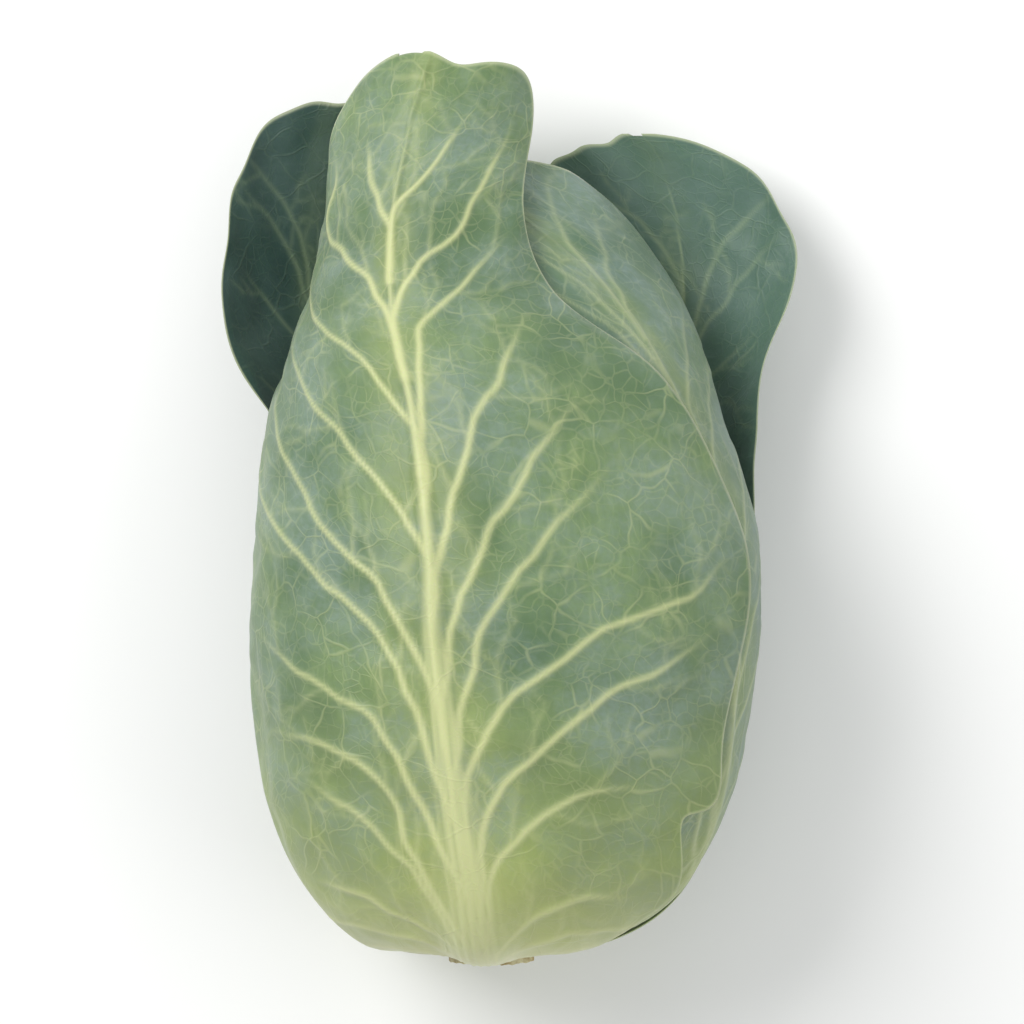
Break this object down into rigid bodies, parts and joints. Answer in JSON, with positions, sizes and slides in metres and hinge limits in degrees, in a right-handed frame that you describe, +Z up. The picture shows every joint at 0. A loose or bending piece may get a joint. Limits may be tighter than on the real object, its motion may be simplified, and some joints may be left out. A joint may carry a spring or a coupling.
{
  "type": "pointed cabbage",
  "caption": "Pointed cabbage head lying on its side, cut at the stalk, with loose wrapper leaves clasping the heart and splaying open behind its tip.",
  "frame": {"origin": "on the surface that the cabbage lies on, under the middle of its box", "axes": "+Y from the cut stalk to the tip, +X to the right as seen from above, +Z up"},
  "size_m": [0.1984, 0.3032, 0.131],
  "materials": {
    "heart_leaf": "smooth pale green leaf, slightly waxy",
    "head_leaf": "mid green leaf with pale veins, waxy bloom",
    "wrapper_leaf": "grey-green leaf with raised cream veins, matt waxy bloom",
    "dark_leaf": "dark blue-green leaf face with thin pale veins, satin",
    "cut_stalk": "cream cut stalk, browned at the cut"
  },
  "bodies": {
    "root": {"heart": "heart_leaf", "head_leaf_left": "head_leaf", "head_leaf_right": "head_leaf", "left_back_leaf": "dark_leaf", "right_back_leaf": "dark_leaf", "right_wrapper_leaf": "wrapper_leaf", "underside_leaf": "wrapper_leaf", "front_leaf": "wrapper_leaf", "stalk": "cut_stalk"}
  },
  "joints": []
}
